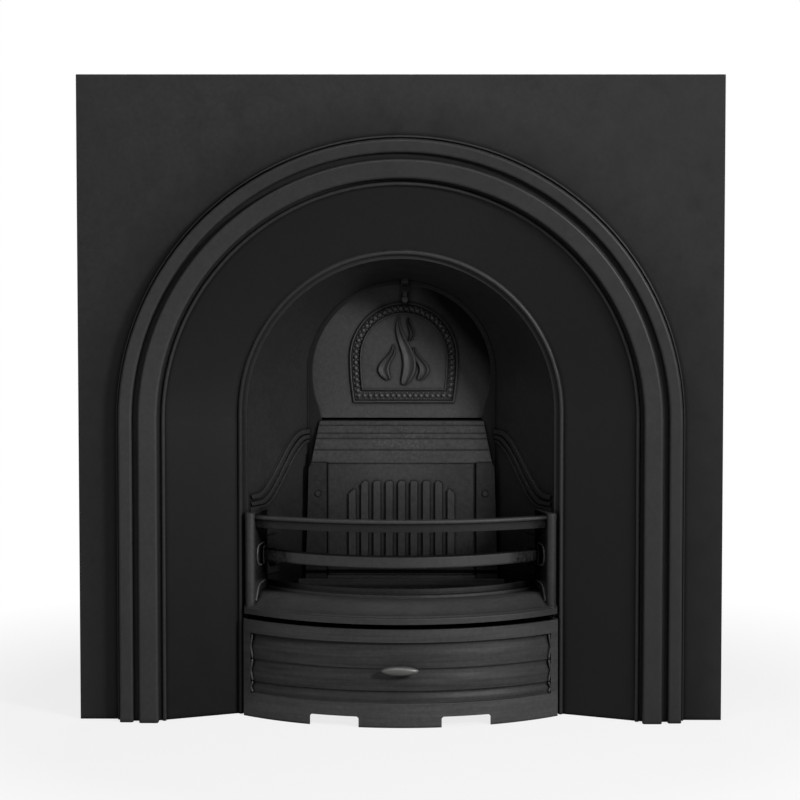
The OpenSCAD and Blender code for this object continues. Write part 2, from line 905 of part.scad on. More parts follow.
module sill_section() {
    slope = [for (i = [0:10]) let (t = i / 10) sill_slope_start
        + [sill_slope[0] * t, sill_slope[1] * (0.35 * t + 0.65 * smooth(t))]];
    outline = concat(
        [[sill_lip[0], 0], [0, 0], [0, sill_lip[1]], [3, sill_lip[1] + 1.5]],
        slope,
        [sill_step, sill_step + [1, 4], sill_ledge],
        [[sill_rear[0] - sill_rear_w, sill_rear[1]], sill_rear],
        [[sill_rear[0], sill_rear_foot]],
        sill_under);
    polygon([for (p = outline) [sill_r - p[0], front_z + p[1]]]);
}

module rounded_2d(w, h, c) {
    polygon(concat(arc([w - c, c], c, -90, 0, 4), arc([w - c, h - c], c, 0, 90, 4),
        arc([c, h - c], c, 90, 180, 4), arc([c, c], c, 180, 270, 4)));
}

module lug_on_peg() {
    z = bracket_z + bracket_shelf_t + lug_gap;
    cheek_frame() difference() {
        translate([lug_u[0], lug_n[0], z])
            cube([lug_u[1] - lug_u[0], lug_n[1] - lug_n[0], lug_t]);
        translate([bracket_u, peg_n, z - cut])
            cylinder(r = peg_r + running, h = lug_t + 2 * cut, $fn = medium);
    }
}

module middle_bar_bow() {
    bow(middle_bar_r - middle_bar_out)
        children();
}

module fire_front() {
    color(iron) {
        both_sides() {
            translate([0, 0, front_z])
                linear_extrude(post_top_z - front_z)
                    polygon(wall_plan);
            lug_on_peg();
            intersection() {
                translate([-collar_w, 0, 0])
                    linear_extrude(post_top_z)
                        polygon(wall_plan);
                middle_bar_bow()
                    translate([middle_bar_r - bar_t - collar_out, middle_bar_z - collar_h])
                        rounded_2d(bar_t + 2 * collar_out, middle_bar_h + 2 * collar_h,
                            bar_corner + collar_out);
            }
        }
        intersection() {
            translate([0, 0, front_z - cut])
                linear_extrude(post_top_z - front_z)
                    polygon(front_plan);
            union() {
                bow(sill_axis)
                    sill_section();
                middle_bar_bow()
                    translate([middle_bar_r - bar_t, middle_bar_z])
                        rounded_2d(bar_t, middle_bar_h, bar_corner);
                bow(top_bar_r - top_bar_out) {
                    translate([top_bar_r - bar_t - lip_out, post_top_z - lip_drop - lip_h])
                        rounded_2d(bar_t + lip_out, lip_h, 2.5);
                    translate([top_bar_r - bar_t, post_top_z - lip_drop - lip_h - web_h])
                        square([bar_t - 4, web_h + 1]);
                }
            }
        }
    }
}

module at_bracket_bolts() {
    both_sides()
        cheek_frame()
            for (z = bracket_bolt_z)
                translate([bracket_u, 0, z])
                    children();
}

module at_rest_bolts() {
    both_sides()
        cheek_frame()
            for (t = rest_bolts)
                translate([rest_u(t), 0, rest_bolt_z])
                    children();
}

// Run along the cheek at a share of the grate rest's length
function rest_u(t) = ((rest_start_d + (rest_end_d - rest_start_d) * t) - hood_front)
    * cheek_len / cheek_run[1];

module bar_bracket() {
    cheek_frame() difference() {
        union() {
            translate([bracket_u - bracket_w / 2 - bracket_side, 0, bracket_z - bracket_base_drop])
                cube([bracket_w + 2 * bracket_side, bracket_base_t, bracket_base_h]);
            translate([bracket_u - bracket_w / 2, bracket_base_t - 1, bracket_z])
                cube([bracket_w, bracket_reach - bracket_base_t + 1, bracket_shelf_t]);
            translate([bracket_u, peg_n, bracket_z + bracket_shelf_t - 1])
                cylinder(r = peg_r, h = peg_h + 1, $fn = medium);
        }
        for (z = bracket_bolt_z)
            translate([bracket_u, 0, z])
                rod_y(bracket_bolt_r + tapped, -cut, bracket_base_t + cut);
    }
}

module bar_bracket_right() {
    color(iron) bar_bracket();
}

module bar_bracket_left() {
    color(iron) mirror([1, 0, 0]) bar_bracket();
}

// A bolt from outside the cheek into a tapped hole: its seat is the cheek's outer face
module cheek_bolt(grip) {
    rod_y(bracket_bolt_r, -cheek_wall, grip - bolt_end_gap);
    rod_y(bracket_bolt_r * 1.85, -cheek_wall - bracket_bolt_r * 1.3, -cheek_wall, 6);
}

module bar_bracket_bolts() {
    color(steel)
        at_bracket_bolts()
            cheek_bolt(bracket_base_t);
}

module grate_rest_bolts() {
    color(steel)
        at_rest_bolts()
            cheek_bolt(rest_base_t);
}

module grate_rest() {
    u0 = rest_u(0);
    u1 = rest_u(1);
    difference() {
        union() {
            cheek_frame()
                translate([u0, 0, grate_z - rest_base_h])
                    cube([u1 - u0, rest_base_t, rest_base_h]);
            translate([0, 0, grate_z - rest_t])
                linear_extrude(rest_t)
                    polygon([on_cheek(u0, 1), on_cheek(u1, 1),
                        [grate_side_x(rest_end_d) - rest_lap, on_cheek(u1, 1)[1]],
                        [grate_side_x(rest_start_d) - rest_lap, on_cheek(u0, 1)[1]]]);
        }
        cheek_frame()
            for (t = rest_bolts)
                translate([rest_u(t), 0, rest_bolt_z])
                    rod_y(bracket_bolt_r + tapped, -cut, rest_base_t + cut);
    }
}

module grate_rest_right() {
    color(iron) grate_rest();
}

module grate_rest_left() {
    color(iron) mirror([1, 0, 0]) grate_rest();
}

// Half width of the grate at a depth: clear of the brackets above its edges
function grate_side_x(d) =
    cheek_x(d) - grate_clear[1]
    + (grate_clear[1] - grate_clear[0]) * (d - rest_start_d) / (grate_back_d - rest_start_d);

module grate_2d(inset) {
    back = grate_back_d - inset;
    side = [for (d = [back, rest_start_d, hood_front]) [grate_side_x(d) - inset, d]];
    edge = concat(side, [[side[2][0], 0]]);
    intersection() {
        translate([0, sill_axis])
            circle(sill_r - sill_rear[0] - grate_gap - inset, $fn = fine);
        polygon(concat(edge, [for (p = reversed(edge)) [-p[0], p[1]]]));
    }
}

module fire_grate() {
    pitch = slot_w + grate_bar_w;
    row = grate_back_d / 2;
    color(iron)
        translate([0, 0, grate_z]) difference() {
            union() {
                linear_extrude(grate_t)
                    grate_2d(0);
                linear_extrude(grate_t + rail_h)
                    intersection() {
                        grate_2d(0);
                        translate([-throat_r, grate_back_d - rail_w])
                            square([2 * throat_r, rail_w]);
                    }
            }
            translate([0, 0, -cut])
                linear_extrude(grate_t + 2 * cut)
                    intersection() {
                        grate_2d(grate_border);
                        for (i = [-slot_pairs:slot_pairs], k = [0, 1])
                            translate([i * pitch - slot_w / 2, k * row + slot_end])
                                square([slot_w, row - 2 * slot_end]);
                    }
        }
}

// Section of the sunk panel of the ash cover, with three lapped waves
module recess_section() {
    deep = cover_r - recess_d[1];
    shallow = cover_r - recess_d[0];
    out = cover_r + 2;
    wave = [for (k = [2:-1:0]) let (top = recess_z[k + 1] - wave_round, foot = recess_z[k])
        each concat(
            [[deep + 1, top + wave_round - 0.5], [deep, top]],
            [for (i = [1:5]) let (t = i / 5)
                [deep + (shallow - deep) * smooth(t), top - (top - foot) * 0.62 * t]],
            [[shallow, foot + 0.5]])];
    polygon(concat([[out, recess_z[3]], [cover_r, recess_z[3]]], wave,
        [[cover_r, recess_z[0] - 1], [out, recess_z[0] - 1]]));
}

module cover_notches() {
    both_sides()
        slab(-2 * cover_out, 2 * cover_out)
            polygon([[notch_x[0], -cut], [notch_x[1], -cut], [notch_x[1], notch_h - notch_corner],
                [notch_x[1] - notch_corner, notch_h], [notch_x[0] + notch_corner, notch_h],
                [notch_x[0], notch_h - notch_corner]]);
}

module at_knob() {
    translate([0, -cover_out, knob_z])
        children();
}

module ash_cover() {
    foot_r = cover_r - cover_t;
    color(iron) difference() {
        union() {
            intersection() {
                translate([-cover_half_w, -2 * cover_out, 0])
                    cube([2 * cover_half_w, 4 * cover_out, cover_h]);
                bow(cover_axis)
                    translate([foot_r, 0])
                        square([cover_t, cover_h]);
            }
            intersection() {
                translate([-recess_half_w - 5, -2 * cover_out, 0])
                    cube([2 * recess_half_w + 10, 4 * cover_out, cover_h]);
                bow(cover_axis)
                    translate([cover_r - recess_d[1] - recess_skin, recess_z[0] - recess_border])
                        square([recess_d[1], recess_z[3] - recess_z[0] + 2 * recess_border]);
            }
            both_sides()
                linear_extrude(cover_h)
                    polygon(return_plan);
        }
        intersection() {
            translate([-recess_half_w, -2 * cover_out, 0])
                cube([2 * recess_half_w, 4 * cover_out, cover_h]);
            bow(cover_axis)
                recess_section();
        }
        cover_notches();
        at_knob() {
            rod_y(knob_screw_r + drilled, -cut, knob_seat + cut);
            rod_y(knob_head_r + 1, knob_seat, knob_seat + cover_t);
        }
    }
}

module cover_knob() {
    half = [for (i = [0:16]) [knob_d / 2 * sin(i * 11.25), -knob_l / 2 * cos(i * 11.25)]];
    seat = recess_d[0];
    color(steel)
        at_knob() difference() {
            union() {
                translate([0, seat - knob_gap - knob_d / 2, 0])
                    rotate([0, 90, 0])
                        rotate_extrude($fn = medium)
                            polygon(half);
                rod_y(knob_stem_r, seat - knob_gap - knob_d / 2, seat);
            }
            rod_y(knob_screw_r + tapped, seat - knob_gap - 4, seat + cut);
        }
}

module knob_screw() {
    color(steel)
        at_knob() {
            rod_y(knob_screw_r, recess_d[0] - knob_gap - 3, knob_seat);
            rod_y(knob_head_r, knob_seat, knob_seat + 3);
        }
}

// Puts the origin under the middle of the object
module placed() {
    translate([0, frame_shift, 0])
        children();
}

placed() arch_plate();
placed() hood();
placed() hood_bolts();
placed() hood_washers();
placed() hood_nuts();
placed() fireback();
placed() fireback_screws();
placed() fireback_nuts();
placed() damper_flap();
placed() damper_rod();
placed() damper_catch();
placed() catch_pivot();
placed() fire_front();
placed() bar_bracket_left();
placed() bar_bracket_right();
placed() bar_bracket_bolts();
placed() fire_grate();
placed() grate_rest_left();
placed() grate_rest_right();
placed() grate_rest_bolts();
placed() ash_cover();
placed() cover_knob();
placed() knob_screw();
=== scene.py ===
import math

import bmesh
import bpy
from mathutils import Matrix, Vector


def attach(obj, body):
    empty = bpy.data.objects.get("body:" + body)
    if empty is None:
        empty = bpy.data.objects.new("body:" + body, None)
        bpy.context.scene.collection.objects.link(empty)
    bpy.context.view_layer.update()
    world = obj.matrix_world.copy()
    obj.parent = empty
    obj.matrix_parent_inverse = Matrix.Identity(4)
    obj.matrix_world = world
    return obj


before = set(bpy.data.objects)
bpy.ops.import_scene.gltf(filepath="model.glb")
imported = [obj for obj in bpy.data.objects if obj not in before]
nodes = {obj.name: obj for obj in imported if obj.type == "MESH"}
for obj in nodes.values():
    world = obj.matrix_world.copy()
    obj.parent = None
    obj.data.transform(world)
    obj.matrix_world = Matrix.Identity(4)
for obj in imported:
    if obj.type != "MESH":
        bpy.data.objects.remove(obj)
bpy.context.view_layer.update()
scene = bpy.context.scene

MM = 0.001
SHIFT = -0.0842671  # the plate's face lies here in Y


def at(x, depth, z):
    """A point in metres from millimetres right of the middle, behind the plate's face, and up."""
    return Vector((x * MM, depth * MM + SHIFT, z * MM))


# ---------------------------------------------------------------- camera
CAMERA_DIP = math.radians(4.123)
CAMERA_TURN = 0.01004

cam_data = bpy.data.cameras.new("camera")
cam = bpy.data.objects.new("camera", cam_data)
scene.collection.objects.link(cam)
cam_data.sensor_width = 36
cam_data.lens = 134.95
cam_data.shift_y = -0.149
cam_data.clip_end = 60
cam.location = at(44.1, -4460, 984.3)
cam.rotation_euler = (math.radians(90) - CAMERA_DIP, 0, CAMERA_TURN)
scene.camera = cam


# ---------------------------------------------------------------- node trees
class Nodes:
    """Builds a node tree."""

    def __init__(self, tree):
        self.tree = tree
        tree.nodes.clear()

    def new(self, kind):
        return self.tree.nodes.new("ShaderNode" + kind)

    def put(self, socket, value):
        """Links a socket to another node's output, or sets it to a number or a colour."""
        if isinstance(value, bpy.types.NodeSocket):
            self.tree.links.new(value, socket)
        elif isinstance(value, tuple):
            socket.default_value = (*value, 1)
        else:
            socket.default_value = value

    def fill(self, node, **values):
        for key, value in values.items():
            self.put(node.inputs[key.replace("_", " ")], value)

    def math(self, op, a, b=0.0):
        n = self.new("Math")
        n.operation = op
        self.put(n.inputs[0], a)
        self.put(n.inputs[1], b)
        return n.outputs[0]

    def times(self, *factors):
        out = factors[0]
        for f in factors[1:]:
            out = self.math("MULTIPLY", out, f)
        return out

    def less(self, a, b):
        return self.math("SUBTRACT", a, b)

    def absolute(self, a):
        return self.math("ABSOLUTE", a)

    def length(self, a, b):
        n = self.new("CombineXYZ")
        self.put(n.inputs[0], a)
        self.put(n.inputs[1], b)
        v = self.new("VectorMath")
        v.operation = "LENGTH"
        self.put(v.inputs[0], n.outputs[0])
        return v.outputs["Value"]

    def span(self, fac, lo, hi, out_lo, out_hi):
        n = self.new("MapRange")
        self.fill(n, Value=fac, From_Min=lo, From_Max=hi, To_Min=out_lo, To_Max=out_hi)
        return n.outputs[0]

    def above(self, value, edge, soft):
        """One over an edge and zero under it."""
        return self.span(value, edge - soft / 2, edge + soft / 2, 0.0, 1.0)

    def below(self, value, edge, soft):
        """One under an edge and zero over it."""
        return self.span(value, edge - soft / 2, edge + soft / 2, 1.0, 0.0)

    def within(self, value, lo, hi, soft):
        """One between two edges."""
        return self.times(self.above(value, lo, soft), self.below(value, hi, soft))

    def where(self, value, *masks):
        """The value where all the masks are 1, and 1 where one of them is 0."""
        return self.math("ADD", self.times(*masks, self.less(value, 1.0)), 1.0)

    def mix(self, fac, a, b, blend="MIX"):
        n = self.new("Mix")
        n.data_type = "RGBA"
        n.blend_type = blend
        for i, value in ((0, fac), (6, a), (7, b)):
            self.put(n.inputs[i], value)
        return n.outputs[2]


class Material(Nodes):
    """A principled material that follows the object's own coordinates."""

    def __init__(self, name):
        self.mat = bpy.data.materials.new(name)
        self.mat.use_nodes = True
        super().__init__(self.mat.node_tree)
        self.out = self.new("OutputMaterial")
        self.bsdf = self.new("BsdfPrincipled")
        self.put(self.out.inputs[0], self.bsdf.outputs[0])
        own = self.new("TexCoord").outputs
        self.pos, self.normal = own["Object"], own["Normal"]

    def noise(self, scale, detail, rough, coord=None):
        n = self.new("TexNoise")
        self.fill(n, Scale=scale, Detail=detail, Roughness=rough, Vector=coord or self.pos)
        return n.outputs["Fac"]

    def voronoi(self, scale):
        n = self.new("TexVoronoi")
        self.fill(n, Scale=scale, Vector=self.pos)
        return n.outputs["Distance"]

    def stretch(self, sx, sy, sz):
        n = self.new("Mapping")
        n.inputs["Scale"].default_value = (sx, sy, sz)
        self.put(n.inputs["Vector"], self.pos)
        return n.outputs[0]

    def place(self):
        """Millimetres right of the middle, behind the plate's face, and up."""
        n = self.new("VectorMath")
        n.operation = "SCALE"
        self.put(n.inputs[0], self.pos)
        n.inputs["Scale"].default_value = 1 / MM
        parts = self.new("SeparateXYZ")
        self.put(parts.inputs[0], n.outputs[0])
        x, y, z = parts.outputs
        return x, self.less(y, SHIFT / MM), z

    def facing_back(self):
        """One on faces that look away from the room."""
        parts = self.new("SeparateXYZ")
        self.put(parts.inputs[0], self.normal)
        return self.above(parts.outputs["Y"], 0.25, 0.2)

    def arch_radius(self, x, z, centre_z):
        """Distance from the middle line of an arch on two legs."""
        return self.length(x, self.math("MAXIMUM", self.less(z, centre_z), 0.0))

    def matt(self, *factors):
        """A tone, and a sheen that falls with it."""
        tone = self.times(*factors)
        return tone, self.math("MINIMUM", tone, 1.0)

    def crease_shade(self, reach, deepest, power=1.6):
        """Painted shade in inner corners, from ambient occlusion."""
        n = self.new("AmbientOcclusion")
        n.samples = 6
        n.inputs["Distance"].default_value = reach * MM
        return self.span(self.math("POWER", n.outputs["AO"], power), 0.0, 1.0, deepest, 1.0)

    def bump(self, height, strength, distance, round_by=0):
        """A grain, with edges rounded in the shading by some millimetres."""
        n = self.new("Bump")
        self.fill(n, Strength=strength, Distance=distance, Height=height)
        if round_by:
            soft = self.new("Bevel")
            soft.samples = 6
            soft.inputs["Radius"].default_value = round_by * MM
            self.put(n.inputs["Normal"], soft.outputs[0])
        self.put(self.bsdf.inputs["Normal"], n.outputs[0])


# ---------------------------------------------------------------- tones by place, in millimetres: mostly painted light and shade
ARCH_Z, THROAT_Z = 454, 460.5  # centres of the mouldings' arch and of the throat's
PANEL_TOP = 368  # the fireback's panel ends here, under its header


def plate_painted_light(m):
    """Painted highlights on the mouldings, their beads and the throat's lip; painted shade beside the outer
    rib, towards the right and on the splayed panel's left; lighter upwards.
    """
    x, depth, z = m.place()
    radius = m.arch_radius(x, z, ARCH_Z)
    # painted light: the plate is made lighter upwards
    upright = m.span(z, 0, 900, 0.72, 1.1)
    # painted shade beside the outer rib
    beside = m.span(radius, 425, 500, 0.55, 1.0)
    # painted highlight on the mouldings, stronger low down
    ribs = m.where(m.span(z, 450, 850, 3.9, 1.85), m.below(depth, -9, 3))
    # painted highlights on the outer edge bead and the inner bead
    edge_bead = m.where(2.4, m.within(radius, 420.8, 425.8, 0.4))
    inner_bead = m.where(1.55, m.within(radius, 351.9, 362.2, 0.4))
    # painted highlight on the throat's lip
    lip = m.span(m.arch_radius(x, z, THROAT_Z), 245.5, 247.5, 2.9, 1.0)
    # painted shade towards the right
    right = m.span(x, 50, 450, 1.0, 0.56)
    # painted shade on the left of the splayed panel, which also dims its sheen
    panel = m.where(m.span(x, -300, 100, 0.6, 1.0), m.below(radius, 358.5, 7))
    return m.times(upright, beside, ribs, edge_bead, inner_bead, lip, right, panel), panel


def front_tone(m):
    """Painted shade towards the rear, under the top bar's lip, on the middle bar's top, on the sill's rear
    ledge and on the right; a painted highlight along the slope's top; the inner walls darker and mottled.
    """
    x, depth, z = m.place()
    aside = m.absolute(x)
    bow = m.length(x, m.less(depth, 283.6))
    sill = m.below(z, 204.5, 3)
    # painted shade towards the rear
    rear = m.span(depth, 35, 60, 1.0, 0.2)
    # painted shade under the top bar's lip
    web = m.where(0.5, m.above(z, 285, 2), m.below(z, 299, 1), m.below(aside, 217.5, 3))
    # painted shadow on the middle bar's top
    bar_top = m.where(0.15, m.above(z, 249.25, 1.5), m.below(z, 261, 2), m.below(aside, 212, 4))
    walls = m.where(m.span(m.noise(220.0, 4.0, 0.7), 0.4, 0.62, 0.2, 0.65),
                    m.below(aside, 220.25, 2.5), m.above(z, 203, 6), m.above(depth, 26, 8))
    # painted shade on the sill's rear ledge, deepest at the back
    ledge = m.where(m.span(bow, 276, 292, 0.22, 0.75), m.below(bow, 293, 3), sill)
    # painted highlight along the top of the sill's slope
    brightening = m.times(m.span(bow, 313, 326, 1.25, 0.98), m.span(bow, 340, 343, 1.0, 0.92))
    slope = m.where(brightening, m.above(bow, 301, 1), sill)
    # painted shade towards the right
    right = m.span(x, 150, 220, 1.0, 0.78)
    return m.matt(rear, web, bar_top, walls, ledge, slope, right)


def hood_tone(m):
    """Painted shade low down and on the back wall round the flap."""
    _, depth, z = m.place()
    return m.matt(m.span(z, 190, 360, 0.15, 1.0), m.span(depth, 186, 188.5, 1.0, 0.5))


def flap_tone(m):
    """Painted shade in the groove at the foot, a painted shadow of the catch that stays when the catch
    swings, and a painted shadow towards the upper right.
    """
    x, _, z = m.place()
    # painted shade in the groove at the foot
    groove = m.span(z, 432.5, 433.5, 0.02, 1.0)
    # painted shadow behind the catch, fixed on the flap
    catch = m.where(m.span(m.absolute(m.less(x, 5)), 4, 13, 0.22, 1.0), m.above(z, 606.5, 13))
    # painted shadow towards the upper right
    upper_right = m.math("ADD", m.times(m.less(x, -2.6), 0.766), m.times(m.less(z, 530), 0.643))
    return m.matt(groove, catch, m.span(upper_right, 70, 104, 1.0, 0.12))


def fireback_tone(m):
    """The header is lighter, with a brighter patch in its middle; the panel is darker low down and on the
    side strips, lighter on the reeds and above them; painted shade lines at the strips' edges and along the
    foot.
    """
    x, depth, z = m.place()
    aside = m.absolute(x)
    panel = m.below(z, PANEL_TOP, 4)
    low = m.times(m.span(z, 200, 365, 0.42, 0.68), m.span(z, 295, 325, 0.82, 1.0))
    header = m.where(m.span(m.noise(150.0, 6.0, 0.75), 0.36, 0.66, 1.15, 1.55), m.above(z, PANEL_TOP, 4))
    strips = m.where(m.span(aside, 115, 116, 1.0, 0.72), panel)
    patch = m.span(m.length(m.less(x, 4), m.times(m.less(z, 397), 2.2)), 20, 75, 1.0, 0.0)
    brightening = m.where(1.8, patch, m.span(m.noise(330.0, 3.0, 0.6), 0.45, 0.62, 0.0, 1.0))
    reeds = m.where(1.34, m.below(depth, 170.75, 1.5), panel, m.below(aside, 114.3, 0.6))
    # painted shade line at the side strips' edges
    seam = m.where(0.15, m.above(aside, 114.85, 0.3), m.below(aside, 116.6, 0.4), m.below(z, 367, 2))
    # painted shade line along the foot
    foot = m.where(0.15, m.above(z, 193.25, 0.5), m.below(z, 199, 1))
    over_reeds = m.where(1.4, m.above(z, 337.5, 15), panel, m.below(aside, 55, 70))
    return m.matt(low, header, strips, brightening, reeds, seam, foot, over_reeds)


def grate_tone(m):
    """Nearly black, and lighter on the rail's top."""
    return m.matt(m.span(m.place()[2], 178, 181, 1.0, 2.2))


def cover_tone(m):
    """The sunk panel is darker than the border, as painted shade, and streaked along the curve; lighter at
    the foot.
    """
    x, depth, z = m.place()
    bow = m.length(x, m.less(depth, 309))
    streaks = m.span(m.noise(60.0, 4.0, 0.6, m.stretch(0.12, 0.12, 3.0)), 0.35, 0.65, 0.8, 1.2)
    # painted shade on the sunk panel
    return m.matt(m.span(bow, 365.5, 367.2, 0.8, 1.0), streaks, m.span(z, 30, 42, 1.4, 1.0))


# ---------------------------------------------------------------- materials
def blacked_iron(name, dark, light, rough, grain, wear=0.5, specular=0.3, tone_by=None, reach=6,
                 round_by=0, bare=0):
    """Blacked cast iron: a dark skin with broad patches, fine sand grain and edges worn lighter, with
    painted shade in inner corners and a tone by place, much of it painted light and shade.

    The polish stops at the front: faces that look back are bare, and lighter by the factor given."""
    m = Material(name)
    fine = m.noise(160.0, 6.0, 0.65)
    patches = m.span(m.noise(5.5, 5.0, 0.6), 0.35, 0.68, 0.0, 1.0)
    skin_tone = m.mix(patches, (dark, dark, dark * 1.02), (light, light, light * 1.01))
    vary = 0.1 + 0.12 * grain
    speck = m.span(fine, 0.36, 0.66, 1 - vary, 1 + vary)
    # painted shade in inner corners, on the colour and on the sheen
    inner = m.crease_shade(reach, 0.08) if reach else None
    if reach:
        speck = m.times(speck, inner)
    sheen = 1.0
    if tone_by:
        tone, sheen = tone_by(m)
        if bare:
            back = m.facing_back()
            tone = m.math("ADD", m.times(m.less(1.0, back), tone), m.times(back, bare))
        speck = m.times(speck, tone)
    edges = m.span(m.new("NewGeometry").outputs["Pointiness"], 0.52, 0.6, 0.0, wear)
    colour = m.mix(edges, m.mix(1.0, skin_tone, speck, "MULTIPLY"), (light * 2.2,) * 3)
    m.put(m.bsdf.inputs["Base Color"], colour)
    m.put(m.bsdf.inputs["Roughness"],
          m.span(m.noise(28.0, 5.0, 0.6), 0.3, 0.7, rough - 0.06, rough + 0.07))
    m.put(m.bsdf.inputs["Specular IOR Level"],
          m.times(inner, specular, sheen) if reach else specular)
    height = m.math("ADD", m.times(fine, 0.7), m.times(m.voronoi(900.0), grain))
    m.bump(height, 0.35, 0.0006 * (0.4 + grain), round_by)
    return m.mat


def steel(name, grey, rough, metallic):
    m = Material(name)
    streaks = m.noise(220.0, 4.0, 0.6, m.stretch(0.25, 1.0, 1.0))
    fac = m.span(streaks, 0.3, 0.7, 0.0, 1.0)
    m.put(m.bsdf.inputs["Base Color"], m.mix(fac, tuple(c * 0.8 for c in grey), grey))
    m.put(m.bsdf.inputs["Roughness"], m.span(streaks, 0.3, 0.7, rough - 0.06, rough + 0.08))
    m.put(m.bsdf.inputs["Metallic"], metallic)
    m.bump(m.noise(500.0, 4.0, 0.6), 0.12, 0.0003)
    return m.mat


plate_iron = blacked_iron("plate_iron", 0.0125, 0.0140, 0.48, 0.25, specular=0.2,
                          tone_by=plate_painted_light, reach=7, bare=4.5)
front_iron = blacked_iron("front_iron", 0.020, 0.025, 0.5, 0.7, tone_by=front_tone)
bar_iron = blacked_iron("bar_iron", 0.020, 0.025, 0.5, 0.7, reach=0)
cover_iron = blacked_iron("cover_iron", 0.019, 0.0235, 0.5, 0.7, tone_by=cover_tone)
flap_iron = blacked_iron("flap_iron", 0.021, 0.026, 0.52, 0.9, wear=0, tone_by=flap_tone,
                         round_by=0.6, bare=2.5)
# The flap's beads are a lighter iron than the flap, as a painted highlight.
bead_iron = blacked_iron("bead_iron", 0.040, 0.048, 0.42, 0.5, reach=0)
hood_iron = blacked_iron("hood_iron", 0.011, 0.014, 0.52, 0.7, tone_by=hood_tone, bare=5)
sand_iron = blacked_iron("sand_iron", 0.024, 0.031, 0.55, 1.3, wear=0, tone_by=fireback_tone,
                         reach=4, round_by=0.9)
grate_iron = blacked_iron("grate_iron", 0.003, 0.004, 0.65, 0.8, wear=0.1, specular=0.15,
                          tone_by=grate_tone)
# Near black as painted shade, for parts that sit in shadow inside the fireplace.
shade_black_iron = blacked_iron("shade_black_iron", 0.003, 0.004, 0.6, 0.6, wear=0.2, specular=0.15)
bolt_steel = steel("bolt_steel", (0.06, 0.06, 0.062), 0.45, 0.6)
knob_steel = steel("knob_steel", (0.10, 0.10, 0.097), 0.4, 0.5)

# Each piece's material, and the width in millimetres that its edges are rounded by. The fireback and
# the flap have thin relief that a bevel breaks, so their edges are rounded in the shading only.
LOOKS = {
    "arch_plate": (plate_iron, 0.6),
    "hood": (hood_iron, 0.8),
    "fireback": (sand_iron, 0),
    "damper_flap": (flap_iron, 0),
    "damper_catch": (hood_iron, 0.6),
    "fire_front": (front_iron, 0.7),
    "fire_grate": (grate_iron, 0.8),
    "ash_cover": (cover_iron, 0.6),
    # painted shade: these parts are near black to sit unseen in the fireplace's shadow
    "bar_bracket_left": (shade_black_iron, 0.6),
    "bar_bracket_right": (shade_black_iron, 0.6),
    "grate_rest_left": (shade_black_iron, 0.6),
    "grate_rest_right": (shade_black_iron, 0.6),
    "hood_bolts": (bolt_steel, 0.25),
    "hood_washers": (bolt_steel, 0.15),
    "hood_nuts": (bolt_steel, 0.25),
    "fireback_screws": (hood_iron, 0.3),
    "fireback_nuts": (bolt_steel, 0.2),
    "damper_rod": (bolt_steel, 0.4),
    "catch_pivot": (shade_black_iron, 0.3),
    "bar_bracket_bolts": (shade_black_iron, 0.2),
    "grate_rest_bolts": (shade_black_iron, 0.2),
    "cover_knob": (knob_steel, 0),
    "knob_screw": (bolt_steel, 0.2),
}

for name, (material, bevel) in LOOKS.items():
    node = nodes[name]
    for slot in node.material_slots:
        slot.material = material
    if not bevel:
        continue
    weld = node.modifiers.new("weld", "WELD")
    weld.merge_threshold = 2e-6
    rounding = node.modifiers.new("rounding", "BEVEL")
    rounding.width = bevel * MM
    rounding.segments = 2
    rounding.limit_method = "ANGLE"
    rounding.angle_limit = math.radians(32)
    rounding.use_clamp_overlap = False
    rounding.loop_slide = False
    rounding.harden_normals = True
    rounding.miter_outer = "MITER_ARC"
    even = node.modifiers.new("even", "WEIGHTED_NORMAL")
    even.keep_sharp = True


# ---------------------------------------------------------------- relief on the damper flap
HINGE_D, HINGE_Z, LEAN = 206.0, 412.0, math.radians(10)
SILL_Z, PANEL_D, FLAP_D, ORNAMENT_X = 431.0, 194.0, 196.5, 3.0
# The ornament's frame: half its width, its foot, the arch's start and rise, and the sides' taper
FRAME_HALF, FRAME_FOOT, FRAME_MID, FRAME_RISE, FRAME_TAPER = 85, 24.5, 96, 86.5, 6.5
BEAD_INSET, BEAD_PITCH, SEAT = 9.5, 8.76, 0.2  # SEAT: how far beads and ridges reach into the flap


def on_flap(x, d, v):
    """A point on the leaned flap, from millimetres right of the ornament, deep and above the sill."""
    dd, dz = d - HINGE_D, SILL_Z + v - HINGE_Z
    return at(x + ORNAMENT_X, HINGE_D + dd * math.cos(LEAN) + dz * math.sin(LEAN),
              HINGE_Z - dd * math.sin(LEAN) + dz * math.cos(LEAN))


def piece(name, bm, material, body):
    """Ends a mesh as a named piece that rides on a body."""
    mesh = bpy.data.meshes.new(name)
    bmesh.ops.recalc_face_normals(bm, faces=bm.faces)
    for f in bm.faces:
        f.smooth = True
    bm.to_mesh(mesh)
    bm.free()
    obj = bpy.data.objects.new(name, mesh)
    scene.collection.objects.link(obj)
    mesh.materials.append(material)
    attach(obj, body)


